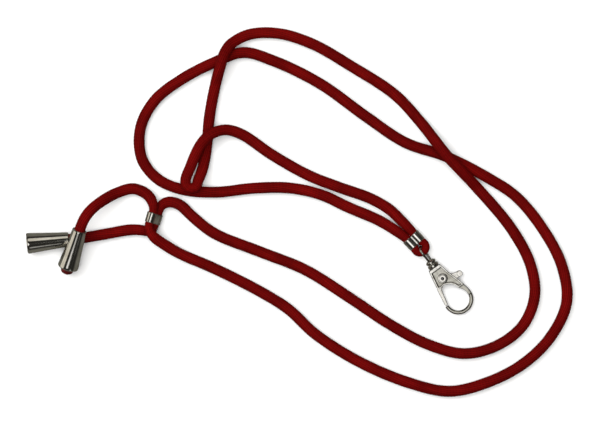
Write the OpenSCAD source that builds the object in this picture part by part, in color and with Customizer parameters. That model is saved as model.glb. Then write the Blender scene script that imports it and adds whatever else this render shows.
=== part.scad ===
// Cord lanyard with a swivel trigger clasp, a sliding band and two bell cord ends.
// It lies flat: +Z is up, and the origin is on the table under the middle of the object.

/* [Cord] */
// Diameter of the round cord where it lies free
cord_d = 5; // [4.6:0.1:5]
// Sides of the cord's tube
cord_sides = 10; // [8:1:12]

/* [Bell caps] */
// Length of a bell cap from its open mouth to its small end
bell_length = 20; // [18:0.5:20]
// Largest outer diameter, at the mouth
bell_mouth_d = 9.9; // [9.4:0.1:10]
// Outer diameter of the small end
bell_small_d = 6.9; // [6.8:0.1:7]
// Wall thickness
bell_wall = 0.5; // [0.4:0.05:0.6]
// Diameter of the hole that the cord runs through
bell_hole_d = 5.4; // [5.3:0.1:5.6]
// Diameter of the melted stop on the end of the cord
stop_d = 6.4; // [6:0.1:7]

/* [Bands] */
// Length of the sliding band along the cord
slider_length = 5.2; // [4.6:0.1:5.4]
// Outer thickness of the sliding band
slider_d = 5; // [4.9:0.1:5.2]
// Diameter of each of the sliding band's two lanes
slider_lane_d = 4.2; // [4.1:0.05:4.3]
// Length of the crimp band along the cord
crimp_length = 5.2; // [4.6:0.1:5.2]
// Outer diameter of each lobe of the crimp band
crimp_lobe_d = 4.9; // [4.8:0.05:5]

/* [Swivel eye] */
// Diameter of the eye's wire
eye_wire_d = 1.1; // [1:0.1:1.1]
// Inner radius of the eye's round end
eye_inner_r = 2.15; // [2.1:0.05:2.15]
// Diameter of the collar between the eye and the hook
collar_d = 5.4; // [5:0.1:5.4]
// Diameter of the swivel post
post_d = 1.7; // [1.4:0.1:1.8]

/* [Hook] */
// Thickness of the hook's head over both cheeks
head_t = 4; // [3.8:0.1:4]
// Width of the slot that the lever turns in
slot_t = 1.7; // [1.6:0.05:1.8]
// Thickness of the hook's bow
bow_t = 2.2; // [2:0.1:2.4]
// Inner radius of the bow
bow_inner_r = 5.4; // [5.2:0.1:5.4]
// Outer radius of the bow
bow_outer_r = 7.15; // [6.9:0.05:7.2]
// Thickness of the gate lever
lever_t = 1.4; // [1.2:0.05:1.4]
// Outer diameter of the rivet's tube
rivet_d = 2.3; // [2:0.1:2.4]
// Outer diameter of the rivet's rolled heads
rivet_head_d = 3.8; // [3.4:0.1:4]

/* [Colours] */
// Colour of the cord
cord_colour = "darkred"; // [darkred, maroon, black]
// Colour of the plated metal
metal_colour = "silver"; // [silver, gainsboro, darkgray]

/* [Hidden] */
$fn = 64;
cord_r = cord_d / 2;
clearance = 0.05;
overlap = 0.1;

// The cord's route, from tail A to tail B: x, y, z of its centre, and its radius where it
// is squeezed thinner than the free cord.
tail_a = [
    [-122, -14.2, 4.45], [-104, -12.4, 3.1], [-92, -10.4, 2.5], [-80, -8.4, 2.5],
    [-74, -8.8, 2.4, 2.35], [-70.8, -9.4, 2.3, 2.2], [-69.3, -6.9, 2.9, 1.95]
];
inner_strand = [
    [-67.1, 0.4, 2.9, 1.95], [-65.6, 3.4, 2.4, 2.3], [-62, 4.8, 2.5], [-57, 3.3, 2.5],
    [-51.5, -1.8, 2.5], [-41, -10, 2.5], [-19.5, -18.7, 2.5], [2.5, -27.5, 2.5],
    [24, -41, 2.5], [43, -53.6, 2.5], [61, -63, 2.5], [78, -67.3, 2.5], [94, -63.3, 2.5],
    [106, -53.8, 2.5], [111.5, -40, 2.5], [109.5, -25, 2.5], [100.5, -8, 2.5],
    [83.5, 12.2, 2.7], [76.8, 19, 6.7], [72, 23.9, 8], [67.2, 29.5, 8],
    [62.6, 35.7, 5.8], [57, 43, 2.7], [45, 55.8, 2.5], [24, 69.5, 2.5], [6, 79.8, 2.5], [-10, 84.8, 2.5],
    [-24, 84.4, 2.5], [-32.6, 79.8, 4.8], [-35.3, 76, 7.5], [-36.7, 72.4, 8.1],
    [-38.1, 67.8, 6.6], [-40.4, 59.5, 2.8], [-43.2, 44, 2.5], [-43.9, 35.5, 2.5],
    [-44.9, 27, 2.7], [-46.5, 19.6, 4.2]
];
hairpin = [
    [-48.3, 14.8, 6.3, 2.4], [-48.9, 12.4, 7.5, 2.35], [-51.2, 10.9, 8.3, 2.35],
    [-53.6, 12.2, 8.8, 2.35], [-54.2, 15, 8.4, 2.4], [-52, 21, 6.9], [-47.6, 31, 7.1],
    [-43.9, 35.5, 7.9], [-39.8, 38, 6.6], [-34.5, 39, 3.8]
];
upper_run = [
    [-27.5, 36.8, 2.5], [-13.5, 27.3, 2.5], [4.3, 17.3, 2.5], [19, 11.6, 2.5],
    [33.5, 6.4, 2.5], [42.5, 1.2, 2.6], [48.8, -4.8, 2.9, 2.4], [52, -8, 3.3, 2.2]
];
bight = [
    [54, -10.2, 3.4, 2.03], [57.4, -13.8, 3.4, 1.9], [59.1, -14.6, 3.4, 1.8],
    [59.9, -16, 3.4, 1.75], [59.8, -17.6, 3.4, 1.75], [58.9, -18.9, 3.4, 1.75],
    [57.6, -19.5, 3.4, 1.75], [56.2, -19.4, 3.4, 1.75], [54.9, -18.5, 3.4, 1.8],
    [54.2, -16.8, 3.4, 1.95], [50.8, -13, 3.4, 2.03]
];
outer_strand = [
    [48.7, -11.2, 3.3, 2.2], [45.4, -8.8, 2.9, 2.4], [37.5, -4, 2.5], [22.8, 2.3, 2.5],
    [10, 8.2, 2.5], [-4.8, 11.4, 2.5], [-22, 11.3, 2.5], [-40, 9.4, 2.5], [-56.5, 10.8, 2.5],
    [-68, 16, 2.5], [-75.2, 25.5, 2.5], [-75.8, 40, 2.5], [-69, 53, 2.5], [-56, 63.2, 2.5],
    [-40, 71.4, 2.5], [-27, 75.8, 2.5], [-12.8, 71.9, 2.5], [9.5, 61, 2.5], [31, 45.6, 2.5],
    [50, 33, 2.5], [69.5, 26.3, 2.5], [90, 15.8, 2.5], [103, 7, 2.5], [116, -9, 2.5],
    [124.6, -26, 2.5], [126.7, -43, 2.5], [119, -59.5, 2.5], [106, -72.2, 2.5],
    [89, -81, 2.5], [71, -85.2, 2.5], [51, -80.9, 2.5], [27, -70.6, 2.5], [7, -57.8, 2.5],
    [-5.5, -46.2, 2.5], [-19.5, -37.5, 2.5], [-41.5, -26.5, 2.5], [-57, -19.8, 2.8],
    [-65, -15, 5], [-69.2, -11.8, 7.1, 2.4], [-71.2, -8.8, 7.2, 2.15],
    [-71.6, -6.4, 6.3, 1.95]
];
tail_b = [
    [-69.4, 0.9, 6.3, 1.95], [-69.7, 3.8, 6, 2.25], [-72.2, 8, 3.8], [-79, 11.1, 2.5],
    [-86.6, 9.2, 3.5], [-93.6, 5.2, 7.8], [-98.3, 1.3, 11.3], [-101.4, -2.7, 12.8],
    [-103.5, -7.25, 12.25], [-109.45, -24.5, 6.3]
];
route = concat(tail_a, inner_strand, hairpin, upper_run, bight, outer_strand, tail_b);

// Where the bells sit on the two straight ends of the route
bell_a_from_end = 7.6;
bell_b_from_end = 2.1;

// The clasp: its frame starts at the middle of the bight, and x runs along it to the bow
clasp_at = [58.6, -18.9, 3.4];
clasp_turn = -54.5;
clasp_pitch = 3.4;
eye_tilt = 20;
rivet_x = 15.5;
bow_at = [12.6, 0.4];
nose_angle = -93;
collar_start = 5.3;
collar_end = 8.8;
bridge_top = -6.4;
bridge_end = -4.3;
lever_angle = 0;

// ---- Small helpers ----
function unit(v) = v / norm(v);
function arc(centre, r, from, to, steps = 6) =
    [for (i = [0:steps]) centre + r * [cos(from + (to - from) * i / steps),
                                       sin(from + (to - from) * i / steps)]];

// Puts the children's origin at a point, with their x along one direction and z along another.
module place(at, x_dir, z_dir) {
    z_axis = unit(z_dir);
    y_axis = unit(cross(z_axis, x_dir));
    x_axis = cross(y_axis, z_axis);
    multmatrix([[x_axis[0], y_axis[0], z_axis[0], at[0]],
                [x_axis[1], y_axis[1], z_axis[1], at[1]],
                [x_axis[2], y_axis[2], z_axis[2], at[2]],
                [0, 0, 0, 1]])
        children();
}

// ---- Cord ----
function at(i) = [route[i][0], route[i][1], route[i][2]];
function radius(i) = len(route[i]) > 3 ? route[i][3] : cord_r;
function tangent(i) =
    i == 0 ? unit(at(1) - at(0)) :
    i == len(route) - 1 ? unit(at(i) - at(i - 1)) :
    unit(unit(at(i + 1) - at(i)) + unit(at(i) - at(i - 1)));
function ring(i) =
    let (along = tangent(i), side = unit(cross([0, 0, 1], along)), up = cross(along, side))
    [for (k = [0:cord_sides - 1])
        let (a = -90 + 360 * k / cord_sides)
        at(i) + radius(i) * (side * cos(a) + up * sin(a))];

module cord() {
    rings = len(route);
    points = [for (i = [0:rings - 1]) each ring(i)];
    skin = [for (i = [0:rings - 2], k = [0:cord_sides - 1])
        let (a = i * cord_sides + k, b = i * cord_sides + (k + 1) % cord_sides)
        each [[a, b, b + cord_sides], [a, b + cord_sides, a + cord_sides]]];
    first_end = [for (k = [cord_sides - 1:-1:0]) k];
    last_end = [for (k = [0:cord_sides - 1]) (rings - 1) * cord_sides + k];
    color(cord_colour) polyhedron(points, concat([first_end, last_end], skin), convexity = 12);
}

// ---- Cord ends: melted stops, and the bells that slide on the tails ----
// The bell's frame: the mouth's plane is z = 0, and z runs up the cord to the small end.
module on_tail_a() {
    dir = unit(at(1) - at(0));
    place(at(0) - dir * bell_a_from_end, [0, 1, 0], dir) children();
}
module on_tail_b() {
    n = len(route) - 1;
    dir = unit(at(n - 1) - at(n));
    place(at(n) - dir * bell_b_from_end, [1, 0, 0], dir) children();
}

// The stop's flat top meets the end of the cord, stop_top above the stop's middle.
stop_top = 2.5;
module end_stop(depth) {
    r = stop_d / 2;
    belly = 1.9;
    neck = 1.1;
    color(cord_colour) translate([0, 0, depth - stop_top])
        rotate_extrude() polygon(concat(
            [[0, -r + 0.3], [r * 0.45, -r + 0.55]],
            arc([r - belly, -0.6], belly, -45, 0), arc([r - neck, stop_top - neck], neck, 0, 90),
            [[0, stop_top]]));
}
module end_stop_a() { on_tail_a() end_stop(bell_a_from_end); }
module end_stop_b() { on_tail_b() end_stop(bell_b_from_end); }

module bell_cap() {
    mouth_r = bell_mouth_d / 2;
    small_r = bell_small_d / 2;
    hole_r = bell_hole_d / 2;
    lip = 0.7;
    top = 1.2;
    shoulder = 0.6;
    color(metal_colour) rotate_extrude() polygon(concat(
        [[mouth_r - lip, 0]],
        arc([mouth_r - lip, lip], lip, -90, 0),
        arc([small_r - shoulder, bell_length - shoulder], shoulder, 0, 90),
        [[hole_r, bell_length], [hole_r, bell_length - top],
         [small_r - bell_wall, bell_length - top - 0.2], [mouth_r - bell_wall, lip],
         [mouth_r - lip, 0.45]]));
}
module bell_cap_a() { on_tail_a() bell_cap(); }
module bell_cap_b() { on_tail_b() bell_cap(); }

// ---- Bands that hold two strands side by side ----
slider_low = at(len(tail_a) - 1);
slider_low_end = at(len(tail_a));
slider_high = at(len(route) - len(tail_b) - 1);
slider_high_end = at(len(route) - len(tail_b));

// Frame of the sliding band: z along both lanes, x from the lower lane to the upper one
module slider_frame() {
    middle = (slider_low + slider_low_end + slider_high + slider_high_end) / 4;
    place(middle, slider_high + slider_high_end - slider_low - slider_low_end,
          slider_low_end - slider_low)
        children();
}
slider_half_gap = norm(cross(slider_high - slider_low, unit(slider_low_end - slider_low))) / 2;

module slider_band() {
    edge = 0.35;
    color(metal_colour) slider_frame() difference() {
        union() {
            for (side = [-1, 1])
                translate([side * slider_half_gap, 0, 0]) chamfered_post(slider_d, slider_length, edge);
            cube([2 * slider_half_gap, slider_d - 0.2, slider_length - 2 * edge], center = true);
        }
        for (side = [-1, 1])
            translate([side * slider_half_gap, 0, -slider_length])
                cylinder(d = slider_lane_d, h = 2 * slider_length);
    }
}

// A round post centred on the origin with both rims broken
module chamfered_post(d, length, edge) {
    rotate_extrude() polygon([
        [0, -length / 2], [d / 2 - edge, -length / 2], [d / 2, -length / 2 + edge],
        [d / 2, length / 2 - edge], [d / 2 - edge, length / 2], [0, length / 2]]);
}

crimp_in = len(tail_a) + len(inner_strand) + len(hairpin) + len(upper_run);
crimp_out = crimp_in + len(bight) - 1;

module crimp_band() {
    middle = (at(crimp_in) + at(crimp_in + 1) + at(crimp_out) + at(crimp_out - 1)) / 4;
    across = at(crimp_in) - at(crimp_out);
    half_gap = norm(across) / 2;
    edge = 0.25;
    waist = 3.4;
    color(metal_colour) place(middle, across, at(crimp_in + 1) - at(crimp_in)) difference() {
        union() {
            for (side = [-1, 1])
                translate([side * half_gap, 0, 0]) chamfered_post(crimp_lobe_d, crimp_length, edge);
            cube([2 * half_gap, waist, crimp_length - 2 * edge], center = true);
        }
        for (side = [-1, 1])
            translate([side * half_gap, 0, -crimp_length])
                cylinder(d = crimp_lobe_d - 0.7, h = 2 * crimp_length);
    }
}

// ---- Swivel eye ----
module clasp_frame() {
    translate(clasp_at) rotate([0, 0, clasp_turn]) rotate([0, clasp_pitch, 0]) children();
}
module hook_frame() { clasp_frame() translate([rivet_x, 0, 0]) children(); }

// A round bar between two points
module bar(from, to, d) {
    place(from, abs(unit(to - from)[2]) > 0.9 ? [1, 0, 0] : [0, 0, 1], to - from)
        cylinder(d = d, h = norm(to - from));
}

module swivel_eye() {
    wire_r = eye_wire_d / 2;
    ring_r = eye_inner_r + wire_r;
    leg_turn = 10;
    leg_start = ring_r * [sin(leg_turn), cos(leg_turn)];
    leg_end = [collar_start + 0.5, leg_start[1] - (collar_start + 0.5 - leg_start[0]) * tan(leg_turn)];
    head_start = rivet_x + bridge_end + 0.15;
    color(metal_colour) clasp_frame() rotate([eye_tilt, 0, 0]) {
        rotate([90, 0, 0]) rotate([0, 0, 90 - leg_turn])
            rotate_extrude(angle = 180 + 2 * leg_turn) translate([ring_r, 0]) circle(r = wire_r);
        for (side = [-1, 1]) {
            translate([leg_start[0], 0, side * leg_start[1]]) sphere(r = wire_r + 0.03);
            bar([leg_start[0], 0, side * leg_start[1]], [leg_end[0], 0, side * leg_end[1]], eye_wire_d);
        }
        rotate([0, 90, 0]) rotate_extrude() polygon([
            [0, collar_start - 0.3], [collar_d / 2 - 0.9, collar_start - 0.1],
            [collar_d / 2 - 0.25, collar_start + 0.5], [collar_d / 2 - 0.25, collar_start + 1.3],
            [collar_d / 2 - 0.7, collar_start + 1.5], [collar_d / 2 - 0.7, collar_start + 1.9],
            [collar_d / 2, collar_start + 2.2], [collar_d / 2, collar_end - 0.25],
            [collar_d / 2 - 0.25, collar_end], [post_d / 2, collar_end],
            [post_d / 2, head_start], [post_d / 2 + 0.6, head_start],
            [post_d / 2 + 0.6, head_start + 0.5], [post_d / 2, head_start + 0.85],
            [0, head_start + 0.85]]);
    }
}

// ---- Hook body ----
// In the hook's frame the rivet is at the origin and x runs to the bow.
head_outline = [
    [-6.4, -2.7], [-6.1, -3.3], [-0.8, -4.25], [2.2, -4.75], [3.2, -4.4], [3.3, -2.9],
    [3, -1.2], [3.6, 0.5], [4.5, 1.9], [6, 3], [8, 3.8], [8, 6.8], [4.3, 5.8], [1.5, 4.9],
    [-1.1, 4], [-6.1, 3], [-6.4, 2.5]
];
spine_outline = [
    [4.2, 2.2], [6, 3], [8, 3.8], [10.8, 4.9], [13.6, 5.6], [13.6, 7.4], [10.6, 7.3],
    [7.7, 6.7], [4.3, 5.8]
];
slot_outline = [
    [bridge_end, -7], [9, -7], [9, -0.2], [4.4, 1.1], [3.7, 2.2], [5.6, 7], [5.6, 8],
    [bridge_end, 8]
];

module slab(thickness) {
    translate([0, 0, -thickness / 2]) linear_extrude(thickness) children();
}

module hook_body() {
    pocket_r = post_d / 2 + 0.75;
    recess = 0.35;
    color(metal_colour) hook_frame() difference() {
        union() {
            slab(head_t) polygon(head_outline);
            slab(bow_t + 0.4) polygon(spine_outline);
            bow();
        }
        // the opening's round end, with a true wall on the bow
        translate([bow_at[0], bow_at[1], -head_t]) cylinder(r = bow_inner_r, h = 2 * head_t);
        slab(slot_t) polygon(slot_outline);
        // rivet hole
        translate([0, 0, -head_t]) cylinder(d = rivet_d, h = 2 * head_t);
        // swivel hole through the bridge, and the pocket for the post's head
        translate([bridge_top - 1, 0, 0]) rotate([0, 90, 0]) cylinder(d = post_d + 0.2, h = 4);
        translate([bridge_end - overlap, 0, 0]) rotate([0, 90, 0]) cylinder(r = pocket_r, h = 1.5);
        // sunk panels round the rivet's boss
        for (side = [-1, 1])
            translate([0, 0, side * head_t / 2]) slab(2 * recess) difference() {
                offset(delta = -0.75) polygon(head_outline);
                circle(d = rivet_head_d + 0.5);
                translate([bridge_top - 1, -5]) square([2.5, 10]);
            }
    }
}

// The round bow, from the spine round to the nose, with rounded outer edges
module bow() {
    edge = 0.5;
    half = bow_t / 2;
    end_angle = 100;
    translate([bow_at[0], bow_at[1], 0]) rotate([0, 0, nose_angle])
        rotate_extrude(angle = end_angle - nose_angle) polygon([
            [bow_inner_r - 0.3, -half + edge], [bow_inner_r + edge, -half],
            [bow_outer_r - edge, -half], [bow_outer_r, -half + edge],
            [bow_outer_r, half - edge], [bow_outer_r - edge, half],
            [bow_inner_r + edge, half], [bow_inner_r - 0.3, half - edge]]);
}

// ---- Gate lever, rivet and spring ----
hub_r = 2.5;
gate_root = [3.6, -4.2];
gate_tip = [11.1, -5.6];
thumb_root = [2.2, 4];
thumb_tip = [2.9, 8.1];
spring_wire_d = 0.25;
spring_r = 1.6;
spring_floor = 0.08;

// A flat bar with round ends, one radius to the other
module taper(p, q, r_p, r_q) {
    hull() {
        translate(p) circle(r = r_p, $fn = 32);
        translate(q) circle(r = r_q, $fn = 32);
    }
}

module gate_lever() {
    pad_t = 2.4;
    color(metal_colour) hook_frame() rotate([0, 0, lever_angle]) difference() {
        union() {
            slab(lever_t) {
                circle(r = hub_r);
                taper([1, -1.4], gate_root, 1.6, 0.95);
                taper(gate_root, gate_tip, 0.95, 0.7);
                taper([0.4, 0.8], thumb_root, 1.7, 1.6);
                taper(thumb_root, thumb_tip, 1.6, 1.3);
            }
            slab(pad_t) translate(thumb_tip) circle(r = 1.35);
        }
        translate([0, 0, -lever_t]) cylinder(d = rivet_d + 2 * clearance, h = 2 * lever_t);
        // well for the spring's coils, and a groove for the leg that pushes the lever
        translate([0, 0, spring_floor]) cylinder(r = spring_r + 0.35, h = lever_t);
        translate([spring_r - 0.25, 0, spring_floor]) cube([0.5, 4.1, lever_t]);
        // way out for the spring's fixed leg
        translate([-hub_r - 0.5, -hub_r, spring_floor]) cube([hub_r + 0.5, 1.2, lever_t]);
    }
}

module lever_rivet() {
    head = 0.2;
    bore = 0.75;
    half = head_t / 2;
    color(metal_colour) hook_frame() rotate_extrude() polygon([
        [bore, -half - head], [rivet_head_d / 2 - 0.3, -half - head],
        [rivet_head_d / 2, -half], [rivet_d / 2, -half],
        [rivet_d / 2, half], [rivet_head_d / 2, half],
        [rivet_head_d / 2 - 0.3, half + head], [bore, half + head]]);
}

// Two coils round the rivet, a leg in the lever's groove and a leg back to the bridge
module lever_spring() {
    low = spring_floor + 0.05 + spring_wire_d / 2;
    high = low + spring_wire_d * 0.95;
    leg_y = -spring_r;
    color(metal_colour) hook_frame() rotate([0, 0, lever_angle]) {
        for (z = [low, high])
            translate([0, 0, z]) rotate_extrude() translate([spring_r, 0])
                circle(d = spring_wire_d, $fn = 16);
        bar([spring_r, 0, low], [spring_r, 3.9, low], spring_wire_d);
        bar([0, leg_y, high], [bridge_end + 0.5, leg_y - 0.55, high], spring_wire_d);
    }
}

cord();
end_stop_a();
end_stop_b();
bell_cap_a();
bell_cap_b();
slider_band();
crimp_band();
swivel_eye();
hook_body();
gate_lever();
lever_rivet();
lever_spring();
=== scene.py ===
"""Cord lanyard with a swivel clasp, laid out flat on a pale table and seen from straight above."""
import math

import bpy
import numpy as np
from mathutils import Matrix, Vector


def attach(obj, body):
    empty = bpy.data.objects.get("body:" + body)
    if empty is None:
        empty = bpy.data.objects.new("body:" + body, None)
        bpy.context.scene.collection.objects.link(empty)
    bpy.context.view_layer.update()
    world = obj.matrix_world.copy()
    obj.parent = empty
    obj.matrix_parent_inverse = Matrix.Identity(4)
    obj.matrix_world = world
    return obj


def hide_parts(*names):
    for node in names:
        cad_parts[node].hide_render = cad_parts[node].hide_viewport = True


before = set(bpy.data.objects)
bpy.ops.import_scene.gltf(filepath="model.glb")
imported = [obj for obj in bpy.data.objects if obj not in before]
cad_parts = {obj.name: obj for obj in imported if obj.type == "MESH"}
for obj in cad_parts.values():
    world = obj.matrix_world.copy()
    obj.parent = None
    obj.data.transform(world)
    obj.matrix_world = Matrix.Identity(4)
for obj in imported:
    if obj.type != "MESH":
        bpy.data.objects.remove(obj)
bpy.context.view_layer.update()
scene = bpy.context.scene
MM = 0.001

# ---------------------------------------------------------------- camera
VIEW_WIDTH = 0.285
CAMERA_HEIGHT = 1.3

camera_data = bpy.data.cameras.new("camera")
camera_data.sensor_width = 36
camera_data.lens = 36 * (CAMERA_HEIGHT - 0.003) / VIEW_WIDTH
camera_data.clip_end = 20
camera = bpy.data.objects.new("camera", camera_data)
camera.location = (0, 0, CAMERA_HEIGHT)
scene.collection.objects.link(camera)
scene.camera = camera

# ---------------------------------------------------------------- cord
# The route's points, in millimetres as x, y, z and, where the cord is squeezed, its radius.
CORD_R = 2.5
TAIL_A = [
    (-122, -14.2, 4.45), (-104, -12.4, 3.1), (-92, -10.4, 2.5), (-80, -8.4, 2.5),
    (-74, -8.8, 2.4, 2.35), (-70.8, -9.4, 2.3, 2.2), (-69.3, -6.9, 2.9, 1.95)]
INNER_STRAND = [
    (-67.1, 0.4, 2.9, 1.95), (-65.6, 3.4, 2.4, 2.3), (-62, 4.8, 2.5), (-57, 3.3, 2.5),
    (-51.5, -1.8, 2.5), (-41, -10, 2.5), (-19.5, -18.7, 2.5), (2.5, -27.5, 2.5),
    (24, -41, 2.5), (43, -53.6, 2.5), (61, -63, 2.5), (78, -67.3, 2.5), (94, -63.3, 2.5),
    (106, -53.8, 2.5), (111.5, -40, 2.5), (109.5, -25, 2.5), (100.5, -8, 2.5),
    (83.5, 12.2, 2.7), (76.8, 19, 6.7), (72, 23.9, 8), (67.2, 29.5, 8),
    (62.6, 35.7, 5.8), (57, 43, 2.7), (45, 55.8, 2.5), (24, 69.5, 2.5), (6, 79.8, 2.5),
    (-10, 84.8, 2.5), (-24, 84.4, 2.5), (-32.6, 79.8, 4.8), (-35.3, 76, 7.5),
    (-36.7, 72.4, 8.1), (-38.1, 67.8, 6.6), (-40.4, 59.5, 2.8), (-43.2, 44, 2.5),
    (-43.9, 35.5, 2.5), (-44.9, 27, 2.7), (-46.5, 19.6, 4.2)]
HAIRPIN = [
    (-48.3, 14.8, 6.3, 2.4), (-48.9, 12.4, 7.5, 2.35), (-51.2, 10.9, 8.3, 2.35),
    (-53.6, 12.2, 8.8, 2.35), (-54.2, 15, 8.4, 2.4), (-52, 21, 6.9), (-47.6, 31, 7.1),
    (-43.9, 35.5, 7.9), (-39.8, 38, 6.6), (-34.5, 39, 3.8)]
UPPER_RUN = [
    (-27.5, 36.8, 2.5), (-13.5, 27.3, 2.5), (4.3, 17.3, 2.5), (19, 11.6, 2.5),
    (33.5, 6.4, 2.5), (42.5, 1.2, 2.6), (48.8, -4.8, 2.9, 2.4), (52, -8, 3.3, 2.2)]
BIGHT = [
    (54, -10.2, 3.4, 2.03), (57.4, -13.8, 3.4, 1.9), (59.1, -14.6, 3.4, 1.8),
    (59.9, -16, 3.4, 1.75), (59.8, -17.6, 3.4, 1.75), (58.9, -18.9, 3.4, 1.75),
    (57.6, -19.5, 3.4, 1.75), (56.2, -19.4, 3.4, 1.75), (54.9, -18.5, 3.4, 1.8),
    (54.2, -16.8, 3.4, 1.95), (50.8, -13, 3.4, 2.03)]
OUTER_STRAND = [
    (48.7, -11.2, 3.3, 2.2), (45.4, -8.8, 2.9, 2.4), (37.5, -4, 2.5), (22.8, 2.3, 2.5),
    (10, 8.2, 2.5), (-4.8, 11.4, 2.5), (-22, 11.3, 2.5), (-40, 9.4, 2.5), (-56.5, 10.8, 2.5),
    (-68, 16, 2.5), (-75.2, 25.5, 2.5), (-75.8, 40, 2.5), (-69, 53, 2.5), (-56, 63.2, 2.5),
    (-40, 71.4, 2.5), (-27, 75.8, 2.5), (-12.8, 71.9, 2.5), (9.5, 61, 2.5), (31, 45.6, 2.5),
    (50, 33, 2.5), (69.5, 26.3, 2.5), (90, 15.8, 2.5), (103, 7, 2.5), (116, -9, 2.5),
    (124.6, -26, 2.5), (126.7, -43, 2.5), (119, -59.5, 2.5), (106, -72.2, 2.5),
    (89, -81, 2.5), (71, -85.2, 2.5), (51, -80.9, 2.5), (27, -70.6, 2.5), (7, -57.8, 2.5),
    (-5.5, -46.2, 2.5), (-19.5, -37.5, 2.5), (-41.5, -26.5, 2.5), (-57, -19.8, 2.8),
    (-65, -15, 5), (-69.2, -11.8, 7.1, 2.4), (-71.2, -8.8, 7.2, 2.15), (-71.6, -6.4, 6.3, 1.95)]
# Its last four points are in line, so that the cord is straight inside the bell.
TAIL_B = [
    (-69.4, 0.9, 6.3, 1.95), (-69.7, 3.8, 6, 2.25), (-72.2, 8, 3.8), (-79, 11.1, 2.5),
    (-86.6, 9.2, 3.5), (-93.6, 5.2, 7.8), (-98.3, 1.3, 11.3), (-101.4, -2.7, 12.8),
    (-103.5, -7.25, 12.25), (-104.39, -9.84, 11.36), (-106.475, -15.875, 9.275),
    (-109.45, -24.5, 6.3)]
ROUTE = np.array([p if len(p) == 4 else (*p, CORD_R) for p in
                  TAIL_A + INNER_STRAND + HAIRPIN + UPPER_RUN + BIGHT + OUTER_STRAND + TAIL_B])

WALES = 16
POINTS_PER_WALE = 3
RING_STEP = 0.73
STITCH = 2 * RING_STEP
TWIST_LENGTH = 160.0
RIB_HEIGHT = 0.06
STITCH_HEIGHT = 0.035
UNEVENNESS = 0.012
FULLER = 0.06           # the knit stands this much outside the smooth tube
LOWEST = 0.02           # keeps the knit's underside off the table
TIGHTEST = 2.5          # least radius of a bend's middle line


def spline(points, steps=24):
    """A centripetal Catmull-Rom curve through the points, densely sampled."""
    ends = [2 * points[0] - points[1], *points, 2 * points[-1] - points[-2]]
    found = []
    for a, b, c, d in zip(ends, ends[1:], ends[2:], ends[3:]):
        t1 = math.sqrt(np.linalg.norm((b - a)[:3]))
        t2 = t1 + math.sqrt(np.linalg.norm((c - b)[:3]))
        t3 = t2 + math.sqrt(np.linalg.norm((d - c)[:3]))
        for t in np.linspace(t1, t2, steps, endpoint=False):
            p = (t1 - t) / t1 * a + t / t1 * b
            q = (t2 - t) / (t2 - t1) * b + (t - t1) / (t2 - t1) * c
            r = (t3 - t) / (t3 - t2) * c + (t - t2) / (t3 - t2) * d
            s = (t2 - t) / t2 * p + t / t2 * q
            u = (t3 - t) / (t3 - t1) * q + (t - t1) / (t3 - t1) * r
            found.append((t2 - t) / (t2 - t1) * s + (t - t1) / (t2 - t1) * u)
    return np.array(found + [points[-1]])


def evenly(points, step):
    """The same line with its points one step apart."""
    along = np.concatenate([[0], np.cumsum(np.linalg.norm(np.diff(points[:, :3], axis=0), axis=1))])
    marks = np.linspace(0, along[-1], int(round(along[-1] / step)) + 1)
    return np.stack([np.interp(marks, along, points[:, i]) for i in range(points.shape[1])], axis=1)


def eased(points, passes):
    """Rounds off the tightest bends, with both ends held."""
    points = points.copy()
    for _ in range(passes):
        points[1:-1] = points[1:-1] / 2 + (points[:-2] + points[2:]) / 4
    return points


def opened(points, least, passes=60):
    """Eases only the bends that are tighter than a least radius, with a few points either side."""
    points = points.copy()
    for _ in range(passes):
        a, b, c = points[:-8, :3], points[4:-4, :3], points[8:, :3]
        sides = np.prod([np.linalg.norm(v, axis=1) for v in (b - a, c - b, c - a)], axis=0)
        bend = sides / np.maximum(2 * np.linalg.norm(np.cross(b - a, c - a), axis=1), 1e-9)
        tight = np.zeros(len(points), bool)
        for i in np.flatnonzero(bend < least) + 4:
            tight[i - 6:i + 7] = True
        tight[[0, -1]] = False
        points[tight] = eased(points, 1)[tight]
    return points


line = opened(eased(evenly(spline(ROUTE), 0.3), 14), TIGHTEST)
line[:, 2] = np.maximum(line[:, 2], line[:, 3])
line = evenly(line, RING_STEP)
centres, radii = line[:, :3], line[:, 3]


def frames_along(points):
    """Unit vectors along, across and up at each point, carried along without twisting."""
    along = np.gradient(points, axis=0)
    along /= np.linalg.norm(along, axis=1)[:, None]
    across = np.zeros_like(along)
    across[0] = np.cross((0, 0, 1), along[0])
    across[0] /= np.linalg.norm(across[0])
    for i in range(1, len(points)):
        a = across[i - 1] - along[i] * np.dot(across[i - 1], along[i])
        across[i] = a / np.linalg.norm(a)
    return along, across, np.cross(along, across)


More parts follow.
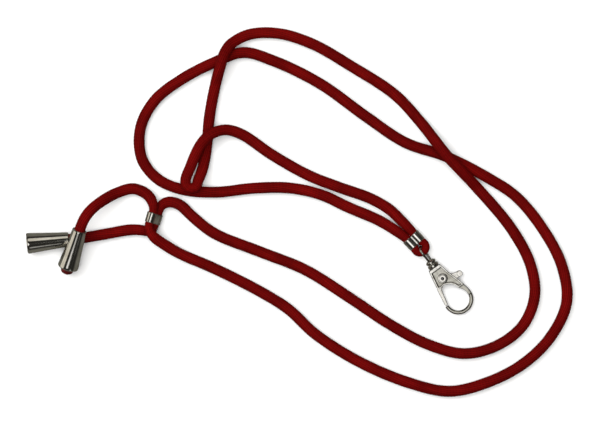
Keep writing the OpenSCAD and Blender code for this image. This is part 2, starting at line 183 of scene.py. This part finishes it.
def knitted_cord(name):
    """The cord as one tube with the ribs and stitches of its knit raised on it."""
    sides = WALES * POINTS_PER_WALE
    rings = len(centres)
    _, across, up = frames_along(centres)
    s = np.arange(rings) * RING_STEP
    k = np.arange(sides)
    angle = 2 * math.pi * k[None, :] / sides + (2 * math.pi * s / TWIST_LENGTH)[:, None]
    rib = np.cos(2 * math.pi * k / POINTS_PER_WALE)
    wale = (k + 1) // POINTS_PER_WALE
    stitch = np.cos(2 * math.pi * s[:, None] / STITCH + math.pi * (wale[None, :] % 2))
    rng = np.random.default_rng(7)
    slow = eased(rng.normal(0, 1, (rings + 400, 1)), 200)[200:200 + rings]
    slow /= slow.std()
    relief = RIB_HEIGHT * rib[None, :] + STITCH_HEIGHT * stitch * (rib[None, :] > 0)
    squeeze = (radii[:, None] / CORD_R) ** 2
    r = radii[:, None] + FULLER + relief * squeeze + UNEVENNESS * slow
    points = (centres[:, None, :] + r[..., None] * (
        np.cos(angle)[..., None] * across[:, None, :] + np.sin(angle)[..., None] * up[:, None, :]))
    points = points.reshape(-1, 3)
    points[:, 2] = np.maximum(points[:, 2], LOWEST)
    points = np.concatenate([points, centres[:1], centres[-1:]]) * MM

    i, j = np.meshgrid(np.arange(rings - 1), np.arange(sides), indexing="ij")
    nxt = (j + 1) % sides
    quads = np.stack([i * sides + j, i * sides + nxt, (i + 1) * sides + nxt,
                      (i + 1) * sides + j], axis=-1).reshape(-1, 4)
    first, last = len(points) - 2, len(points) - 1
    ring = np.arange(sides)
    caps = np.concatenate([
        np.stack([np.full(sides, first), (ring + 1) % sides, ring], axis=1),
        np.stack([np.full(sides, last), (rings - 1) * sides + ring,
                  (rings - 1) * sides + (ring + 1) % sides], axis=1)])
    mesh = bpy.data.meshes.new(name)
    mesh.from_pydata(points.tolist(), [], quads.tolist() + caps.tolist())
    mesh.shade_smooth()

    u = np.stack([j, j + 1, j + 1, j], axis=-1).reshape(-1) / POINTS_PER_WALE
    v = np.stack([i, i, i + 1, i + 1], axis=-1).reshape(-1) * RING_STEP / STITCH
    uv = np.zeros((len(mesh.loops), 2), np.float32)
    uv[:len(u), 0], uv[:len(u), 1] = u, v
    layer = mesh.uv_layers.new(name="knit")
    layer.data.foreach_set("uv", uv.ravel())
    obj = bpy.data.objects.new(name, mesh)
    scene.collection.objects.link(obj)
    return obj


cord = knitted_cord("knitted_cord")

# ---------------------------------------------------------------- placing and mesh helpers


def placed(at, x_dir, z_dir):
    """A matrix with its origin at a point in millimetres, given its z and roughly its x."""
    z = Vector(z_dir).normalized()
    y = z.cross(Vector(x_dir)).normalized()
    x = y.cross(z)
    return Matrix.Translation(Vector(at) * MM) @ Matrix((x, y, z)).transposed().to_4x4()


def settle(name, mesh, matrix):
    """Keeps the mesh's own coordinates as an attribute, then puts the piece in its place."""
    own = np.zeros(len(mesh.vertices) * 3, np.float32)
    mesh.vertices.foreach_get("co", own)
    mesh.attributes.new("own", "FLOAT_VECTOR", "POINT").data.foreach_set("vector", own)
    mesh.transform(matrix)
    mesh.shade_smooth()
    obj = bpy.data.objects.new(name, mesh)
    scene.collection.objects.link(obj)
    return obj


def arc(x, y, r, start, end, steps):
    return [(x + r * math.cos(math.radians(start + (end - start) * i / steps)),
             y + r * math.sin(math.radians(start + (end - start) * i / steps)))
            for i in range(steps + 1)]


def lathe(name, profile, matrix, segments=120, closed=True, wobble=None):
    """A turned piece: the profile is (radius, height) in millimetres about the matrix's z."""
    rows = len(profile)
    verts, faces = [], []
    for r, z in profile:
        for k in range(segments):
            a = 2 * math.pi * k / segments
            rr, zz = (r, z) if wobble is None else wobble(r, z, a)
            verts.append((rr * math.cos(a) * MM, rr * math.sin(a) * MM, zz * MM))
    pairs = rows if closed else rows - 1
    for i in range(pairs):
        for k in range(segments):
            a, b = i * segments, (i + 1) % rows * segments
            n = (k + 1) % segments
            faces.append((a + k, a + n, b + n, b + k))
    if not closed:
        faces.append(tuple(range(segments))[::-1])
        faces.append(tuple((rows - 1) * segments + k for k in range(segments)))
    mesh = bpy.data.meshes.new(name)
    mesh.from_pydata(verts, [], faces)
    return settle(name, mesh, matrix)


def cast(name, node, matrix, voxel, passes):
    """A copy of a CAD node, remeshed finely and eased so that its edges are rounded as cast."""
    up = 100    # remeshed at this scale, where the voxel size isn't near its least value
    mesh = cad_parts[node].data.copy()
    mesh.transform(Matrix.Scale(up, 4) @ matrix.inverted())
    work = bpy.data.objects.new("work", mesh)
    scene.collection.objects.link(work)
    remesh = work.modifiers.new("remesh", "REMESH")
    remesh.mode = "VOXEL"
    remesh.voxel_size = voxel * MM * up
    smooth = work.modifiers.new("smooth", "SMOOTH")
    smooth.factor = 0.5
    smooth.iterations = passes
    graph = bpy.context.evaluated_depsgraph_get()
    done = bpy.data.meshes.new_from_object(work.evaluated_get(graph))
    bpy.data.objects.remove(work)
    done.transform(Matrix.Scale(1 / up, 4))
    done.materials.clear()
    return settle(name, done, matrix)


# ---------------------------------------------------------------- bells and melted stops
BELL_A_FROM_END = 7.6
BELL_B_FROM_END = 2.1


def tail_frame(end, inner, from_end, x_dir):
    end, inner = Vector(end), Vector(inner)
    along = (inner - end).normalized()
    return placed(end - along * from_end, x_dir, along)


tail_a = tail_frame(TAIL_A[0][:3], TAIL_A[1][:3], BELL_A_FROM_END, (0, 1, 0))
tail_b = tail_frame(TAIL_B[-1][:3], TAIL_B[-2][:3], BELL_B_FROM_END, (1, 0, 0))


def bell(name, matrix):
    mouth_r, small_r, hole_r, wall, length, lip, shoulder = 4.95, 3.45, 2.7, 0.5, 20, 0.7, 0.6
    side = [(mouth_r + (small_r - mouth_r) * t - 0.07 * math.sin(math.pi * t),
             lip + (length - lip - shoulder) * t) for t in [i / 24 for i in range(1, 24)]]
    profile = (arc(mouth_r - lip, lip, lip, -100, 0, 12) + side
               + arc(small_r - shoulder, length - shoulder, shoulder, 0, 90, 8)
               + arc(hole_r + 0.15, length - 0.15, 0.15, 90, 180, 4)
               + [(hole_r, length - 1.1), (hole_r + 0.1, length - 1.2),
                  (small_r - wall, length - 1.4),
                  (mouth_r - wall, lip + 0.2), (mouth_r - lip - 0.05, 0.5)])
    return lathe(name, profile, matrix)


def stop(name, matrix, depth):
    r, belly, neck, top = 3.2, 1.9, 1.1, 2.5
    profile = ([(0.02, -r + 0.3), (0.7, -r + 0.33), (r * 0.45, -r + 0.55)]
               + arc(r - belly, -0.6, belly, -50, 0, 10)
               + [(r, 0.4), (r, 0.9)]
               + arc(r - neck, top - neck, neck, 0, 90, 8) + [(0.02, top)])

    def wobble(pr, pz, a):
        ease = min(1, max(0, (1.6 - pz) / 2)) * min(1, pr / 1.5)
        lump = (math.sin(3 * a + pz) * 0.5 + math.sin(5 * a - 2 * pz + 1) * 0.3
                + math.sin(9 * a + 3) * 0.2)
        return pr - 0.12 * ease * (1 + lump), pz + 0.07 * ease * math.sin(4 * a + 2)

    return lathe(name, profile, matrix @ Matrix.Translation((0, 0, (depth - top) * MM)),
                 segments=72, closed=False, wobble=wobble)


bell_a = bell("bell_end_a", tail_a)
bell_b = bell("bell_end_b", tail_b)
stop_a = stop("melted_stop_a", tail_a, BELL_A_FROM_END)
stop_b = stop("melted_stop_b", tail_b, BELL_B_FROM_END)

# ---------------------------------------------------------------- bands
low, low_end = Vector(TAIL_A[-1][:3]), Vector(INNER_STRAND[0][:3])
high, high_end = Vector(OUTER_STRAND[-1][:3]), Vector(TAIL_B[0][:3])
slider_frame = placed((low + low_end + high + high_end) / 4, high + high_end - low - low_end,
                      low_end - low)
crimp_in, crimp_in_end = Vector(BIGHT[0][:3]), Vector(BIGHT[1][:3])
crimp_out, crimp_out_end = Vector(BIGHT[-1][:3]), Vector(BIGHT[-2][:3])
crimp_frame = placed((crimp_in + crimp_in_end + crimp_out + crimp_out_end) / 4,
                     crimp_in - crimp_out, crimp_in_end - crimp_in)
slider = cast("sliding_band", "slider_band", slider_frame, voxel=0.09, passes=5)
crimp = cast("crimp_band_metal", "crimp_band", crimp_frame, voxel=0.08, passes=3)

# ---------------------------------------------------------------- clasp
CLASP_AT = (58.6, -18.9, 3.4)
CLASP_TURN, CLASP_PITCH, EYE_TILT, RIVET_X = -54.5, 3.4, 20, 15.5
clasp_frame = (Matrix.Translation(Vector(CLASP_AT) * MM)
               @ Matrix.Rotation(math.radians(CLASP_TURN), 4, "Z")
               @ Matrix.Rotation(math.radians(CLASP_PITCH), 4, "Y"))
hook_frame = clasp_frame @ Matrix.Translation((RIVET_X * MM, 0, 0))
eye_frame = clasp_frame @ Matrix.Rotation(math.radians(EYE_TILT), 4, "X")
eye = cast("swivel_eye_metal", "swivel_eye", eye_frame, voxel=0.09, passes=4)
hook = cast("hook_casting", "hook_body", hook_frame, voxel=0.11, passes=6)
lever = cast("gate_lever_metal", "gate_lever", hook_frame, voxel=0.1, passes=6)
rivet = cast("rivet_tube", "lever_rivet", hook_frame, voxel=0.06, passes=2)

# ---------------------------------------------------------------- materials


class Nodes:
    """Short names for building one material's node tree."""

    def __init__(self, name):
        self.material = bpy.data.materials.new(name)
        self.material.use_nodes = True
        self.tree = self.material.node_tree
        self.shader = self.tree.nodes["Principled BSDF"]

    def add(self, kind, inputs=None, **settings):
        node = self.tree.nodes.new(kind)
        for key, value in settings.items():
            setattr(node, key, value)
        for key, value in (inputs or {}).items():
            if isinstance(value, bpy.types.NodeSocket):
                self.tree.links.new(value, node.inputs[key])
            else:
                node.inputs[key].default_value = value
        return node

    def math(self, operation, a, b=0.0):
        node = self.add("ShaderNodeMath", {0: a, 1: b}, operation=operation)
        return node.outputs[0]

    def noise(self, vector, scale, detail=3.0, roughness=0.5):
        return self.add("ShaderNodeTexNoise", {"Vector": vector, "Scale": scale, "Detail": detail,
                                               "Roughness": roughness}).outputs["Fac"]

    def spread(self, value, low, high, to_low, to_high):
        limits = {0: value, 1: low, 2: high, 3: to_low, 4: to_high}
        return self.add("ShaderNodeMapRange", limits).outputs[0]

    def mix(self, factor, a, b):
        node = self.add("ShaderNodeMix", data_type="RGBA")
        for socket, value in ((node.inputs[0], factor), (node.inputs[6], a), (node.inputs[7], b)):
            if isinstance(value, bpy.types.NodeSocket):
                self.tree.links.new(value, socket)
            else:
                socket.default_value = value
        return node.outputs[2]

    def place(self):
        """Where a point is in its own piece, in metres."""
        return self.add("ShaderNodeAttribute", attribute_name="own").outputs["Vector"]

    def stretched(self, scale):
        return self.add("ShaderNodeMapping", {"Vector": self.place(), "Scale": scale}).outputs[0]

    def bump(self, height, distance, strength):
        inputs = {"Height": height, "Distance": distance, "Strength": strength}
        node = self.add("ShaderNodeBump", inputs)
        self.tree.links.new(node.outputs[0], self.shader.inputs["Normal"])

    def set(self, **sockets):
        for key, value in sockets.items():
            socket = self.shader.inputs[key.replace("_", " ").title().replace("Ior", "IOR")]
            if isinstance(value, bpy.types.NodeSocket):
                self.tree.links.new(value, socket)
            else:
                socket.default_value = value


def knit_material():
    n = Nodes("knitted_red")
    uv = n.add("ShaderNodeUVMap", uv_map="knit").outputs[0]
    split = n.add("ShaderNodeSeparateXYZ", {0: uv})
    wale, row = split.outputs[0], split.outputs[1]
    tau = 2 * math.pi
    rib = n.math("COSINE", n.math("MULTIPLY", wale, tau))
    part = n.math("FRACT", n.math("ADD", wale, 0.5))
    from_rib = n.math("ABSOLUTE", n.math("SUBTRACT", part, 0.5))
    slant = n.math("ADD", row, n.math("MULTIPLY", from_rib, 0.9))
    stitch = n.math("SINE", n.math("MULTIPLY", slant, tau))
    coords = n.add("ShaderNodeTexCoord").outputs["Object"]
    yarn = n.noise(coords, 4200.0, 2.0)
    height = n.math("ADD", n.math("MULTIPLY", rib, 0.5), n.math("MULTIPLY", stitch, 0.3))
    height = n.math("ADD", height, n.math("MULTIPLY", yarn, 0.5))
    mottle = n.noise(coords, 75.0, 4.0, 0.6)
    lengthwise = n.add("ShaderNodeMapping", {"Vector": uv, "Scale": (1.0, 0.05, 1.0)})
    streak = n.noise(lengthwise.outputs[0], 1.3, 3.0)
    red = (0.118, 0.0018, 0.0016, 1)
    light_red = (0.182, 0.0030, 0.0026, 1)
    dark_red = (0.068, 0.0012, 0.0012, 1)
    colour = n.mix(n.spread(mottle, 0.38, 0.66, 0.0, 1.0), red, light_red)
    colour = n.mix(n.spread(streak, 0.35, 0.7, 0.0, 0.55), colour, dark_red)
    # Painted shade: the red is darkened toward near-black in the grooves between the ribs and
    # stitches.
    groove_shade = n.spread(n.math("ADD", rib, n.math("MULTIPLY", stitch, 0.35)), -1.2, 0.3, 0.75, 0.0)
    colour = n.mix(groove_shade, colour, (0.03, 0.0006, 0.0006, 1))
    n.set(base_color=colour, roughness=n.spread(yarn, 0.3, 0.7, 0.62, 0.85))
    n.shader.inputs["Specular IOR Level"].default_value = 0.04
    n.shader.inputs["Sheen Weight"].default_value = 0.02
    n.shader.inputs["Sheen Roughness"].default_value = 0.4
    n.shader.inputs["Sheen Tint"].default_value = (0.8, 0.05, 0.04, 1)
    n.bump(height, 0.00007, 0.7)
    return n.material


def melted_material():
    n = Nodes("melted_red")
    coords = n.stretched((1, 1, 1))
    lumps = n.noise(coords, 500.0, 4.0)
    fine = n.noise(coords, 2600.0, 2.0)
    colour = n.mix(n.spread(lumps, 0.35, 0.65, 0.0, 1.0),
                   (0.045, 0.0015, 0.0015, 1), (0.13, 0.003, 0.003, 1))
    n.set(base_color=colour, roughness=n.spread(fine, 0.3, 0.7, 0.3, 0.6))
    n.bump(n.math("ADD", lumps, n.math("MULTIPLY", fine, 0.3)), 0.00015, 0.6)
    return n.material


def nickel_material(name, grain, dark, polish=(0.05, 0.16), sunk=None):
    """Polished nickel plate. grain is the scale of the polishing lines on each axis, dark is
    how dark the worn places are, polish is the range of roughness, and sunk is a height in
    millimetres under which the casting's faces are darker."""
    n = Nodes(name)
    coords = n.stretched(grain)
    lines = n.noise(coords, 1.0, 5.0, 0.65)
    cloud = n.noise(n.stretched((1, 1, 1)), 260.0, 3.0)
    specks = n.noise(n.stretched((1, 1, 1)), 2500.0, 2.0)
    waves = n.noise(n.stretched((1, 1, 0.3)), 210.0, 0.0)
    bright, worn = (0.74, 0.72, 0.68, 1), (0.74 * dark, 0.70 * dark, 0.62 * dark, 1)
    wear = n.math("ADD", n.math("MULTIPLY", lines, 0.5), n.math("MULTIPLY", cloud, 0.5))
    colour = n.mix(n.spread(wear, 0.42, 0.62, 0.0, 0.6), bright, worn)
    point = n.add("ShaderNodeNewGeometry").outputs["Pointiness"]
    # Painted shade: faces in creases and hollows (low pointiness) are darkened toward near-black.
    colour = n.mix(n.spread(point, 0.47, 0.40, 0.0, 0.85), colour, (0.06, 0.055, 0.045, 1))
    # Painted highlight: sharp convex edges (high pointiness) are lightened toward near-white.
    colour = n.mix(n.spread(point, 0.53, 0.62, 0.0, 0.8), colour, (0.86, 0.85, 0.82, 1))
    if sunk is not None:
        z = n.add("ShaderNodeSeparateXYZ", {0: n.place()}).outputs[2]
        deep = n.spread(n.math("ABSOLUTE", z), sunk * MM, (sunk - 0.12) * MM, 0.0, 0.55)
        colour = n.mix(deep, colour, (0.20, 0.19, 0.145, 1))
    rough = n.math("ADD", n.spread(lines, 0.3, 0.7, *polish),
                   n.spread(specks, 0.6, 0.75, 0.0, 0.05))
    n.set(base_color=colour, roughness=rough, metallic=1.0)
    n.bump(waves, 0.000012, 0.25)
    return n.material


def steel_material():
    n = Nodes("spring_wire")
    lines = n.noise(n.add("ShaderNodeTexCoord").outputs["Object"], 3000.0, 4.0)
    colour = n.mix(n.spread(lines, 0.35, 0.65, 0.0, 1.0),
                   (0.42, 0.42, 0.43, 1), (0.62, 0.62, 0.62, 1))
    n.set(base_color=colour, roughness=n.spread(lines, 0.3, 0.7, 0.18, 0.35), metallic=1.0)
    n.bump(lines, 0.00001, 0.2)
    return n.material


drawn = nickel_material("drawn_nickel", (900, 900, 45), dark=0.62)
band = nickel_material("band_nickel", (1100, 1100, 120), dark=0.55, polish=(0.08, 0.22))
cast_metal = nickel_material("cast_nickel", (500, 500, 500), dark=0.55, polish=(0.08, 0.2),
                             sunk=1.85)
clasp_metal = nickel_material("clasp_nickel", (300, 900, 900), dark=0.6, polish=(0.06, 0.18))
melted = melted_material()

cord.data.materials.append(knit_material())
for piece in (stop_a, stop_b):
    piece.data.materials.append(melted)
for piece in (bell_a, bell_b):
    piece.data.materials.append(drawn)
for piece in (slider, crimp):
    piece.data.materials.append(band)
for piece in (eye, lever, rivet):
    piece.data.materials.append(clasp_metal)
hook.data.materials.append(cast_metal)
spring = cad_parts["lever_spring"]
if not spring.material_slots:
    spring.data.materials.append(None)
spring_wire = steel_material()
for slot in spring.material_slots:
    slot.material = spring_wire

# ---------------------------------------------------------------- what moves with what
PIECES = [
    (cord, "root", "cord", "cord"),
    (stop_a, "root", "end_stop_a", "cord_end"),
    (stop_b, "root", "end_stop_b", "cord_end"),
    (crimp, "root", "crimp_band", "band_metal"),
    (bell_a, "bell_a", "bell_cap_a", "bell_metal"),
    (bell_b, "bell_b", "bell_cap_b", "bell_metal"),
    (slider, "slider", "slider_band", "band_metal"),
    (eye, "eye", "swivel_eye", "clasp_metal"),
    (hook, "hook", "hook_body", "clasp_metal"),
    (rivet, "hook", "lever_rivet", "clasp_metal"),
    (lever, "lever", "gate_lever", "clasp_metal"),
]
for piece, body, node, slot in PIECES:
    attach(piece, body)
    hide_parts(node)

# ---------------------------------------------------------------- table and light
# The table and the background are pale to the camera, and darker for what the metal mirrors.
floor_mesh = bpy.data.meshes.new("table")
FAR, UNDER = 6, -5e-5    # half the table's side, and its height just below the part, in metres
floor_mesh.from_pydata([(-FAR, -FAR, UNDER), (FAR, -FAR, UNDER), (FAR, FAR, UNDER),
                        (-FAR, FAR, UNDER)], [], [(0, 1, 2, 3)])
floor = bpy.data.objects.new("table", floor_mesh)
scene.collection.objects.link(floor)
paper = Nodes("white_paper")
seen = paper.add("ShaderNodeLightPath").outputs["Is Camera Ray"]
paper.set(base_color=paper.mix(seen, (0.12, 0.117, 0.1, 1), (0.95, 0.95, 0.95, 1)), roughness=0.9)
paper.shader.inputs["Specular IOR Level"].default_value = 0.0
floor_mesh.materials.append(paper.material)


def softbox(name, direction, distance, size, power):
    light = bpy.data.lights.new(name, "AREA")
    light.shape = "RECTANGLE"
    light.size, light.size_y = size
    light.energy = power
    obj = bpy.data.objects.new(name, light)
    toward = Vector(direction).normalized()
    obj.location = toward * distance
    obj.rotation_mode = "QUATERNION"
    obj.rotation_quaternion = toward.to_track_quat("Z", "Y")
    obj.visible_glossy = False
    scene.collection.objects.link(obj)


# Broad light from overhead, which the metal doesn't mirror
softbox("top_box", (-0.05, 0.06, 1.0), 1.8, (2.0, 2.0), 38)
softbox("key_box", (-0.62, 0.42, 0.75), 1.7, (1.3, 1.1), 14)

world = bpy.data.worlds.new("studio")
world.use_nodes = True
scene.world = world
tree = world.node_tree
sky = tree.nodes["Background"]

# What the metal mirrors: a dark room with a few soft bright panels.
# direction, half-angle and softness in degrees, colour
PANELS = [
    ((-0.12, -0.20, 0.97), 16, 4, (1.6, 1.6, 1.58)),
    ((0.19, 0.64, 0.75), 16, 4, (0.85, 0.82, 0.74)),
    ((-0.93, 0.05, 0.36), 24, 5, (0.8, 0.76, 0.66)),
    ((0.36, -0.75, 0.55), 9, 3, (0.4, 0.4, 0.39)),
]
looking = tree.nodes.new("ShaderNodeTexCoord").outputs["Generated"]
height = tree.nodes.new("ShaderNodeSeparateXYZ")
tree.links.new(looking, height.inputs[0])
horizon = tree.nodes.new("ShaderNodeMapRange")
for i, value in ((1, 0.0), (2, 0.3), (3, 0.16), (4, 0.025)):
    horizon.inputs[i].default_value = value
tree.links.new(height.outputs[2], horizon.inputs[0])
light_sum = tree.nodes.new("ShaderNodeVectorMath")
light_sum.operation = "SCALE"
light_sum.inputs[0].default_value = (1.0, 0.96, 0.84)
tree.links.new(horizon.outputs[0], light_sum.inputs["Scale"])
total = light_sum.outputs[0]
for direction, half, soft, shade in PANELS:
    toward = tree.nodes.new("ShaderNodeVectorMath")
    toward.operation = "DOT_PRODUCT"
    toward.inputs[1].default_value = Vector(direction).normalized()
    tree.links.new(looking, toward.inputs[0])
    disc = tree.nodes.new("ShaderNodeMapRange")
    disc.interpolation_type = "SMOOTHSTEP"
    disc.inputs[1].default_value = math.cos(math.radians(half + soft))
    disc.inputs[2].default_value = math.cos(math.radians(half - soft))
    tree.links.new(toward.outputs["Value"], disc.inputs[0])
    panel = tree.nodes.new("ShaderNodeVectorMath")
    panel.operation = "MULTIPLY_ADD"
    panel.inputs[0].default_value = shade
    tree.links.new(disc.outputs[0], panel.inputs[1])
    tree.links.new(total, panel.inputs[2])
    total = panel.outputs[0]
tree.links.new(total, sky.inputs[0])
sky.inputs[1].default_value = 1.0
pale = tree.nodes.new("ShaderNodeBackground")
pale.inputs[0].default_value = (0.93, 0.93, 0.93, 1)
choose = tree.nodes.new("ShaderNodeMixShader")
path_node = tree.nodes.new("ShaderNodeLightPath")
tree.links.new(path_node.outputs["Is Camera Ray"], choose.inputs[0])
tree.links.new(sky.outputs[0], choose.inputs[1])
tree.links.new(pale.outputs[0], choose.inputs[2])
tree.links.new(choose.outputs[0], tree.nodes["World Output"].inputs[0])
scene.view_settings.view_transform = "Standard"
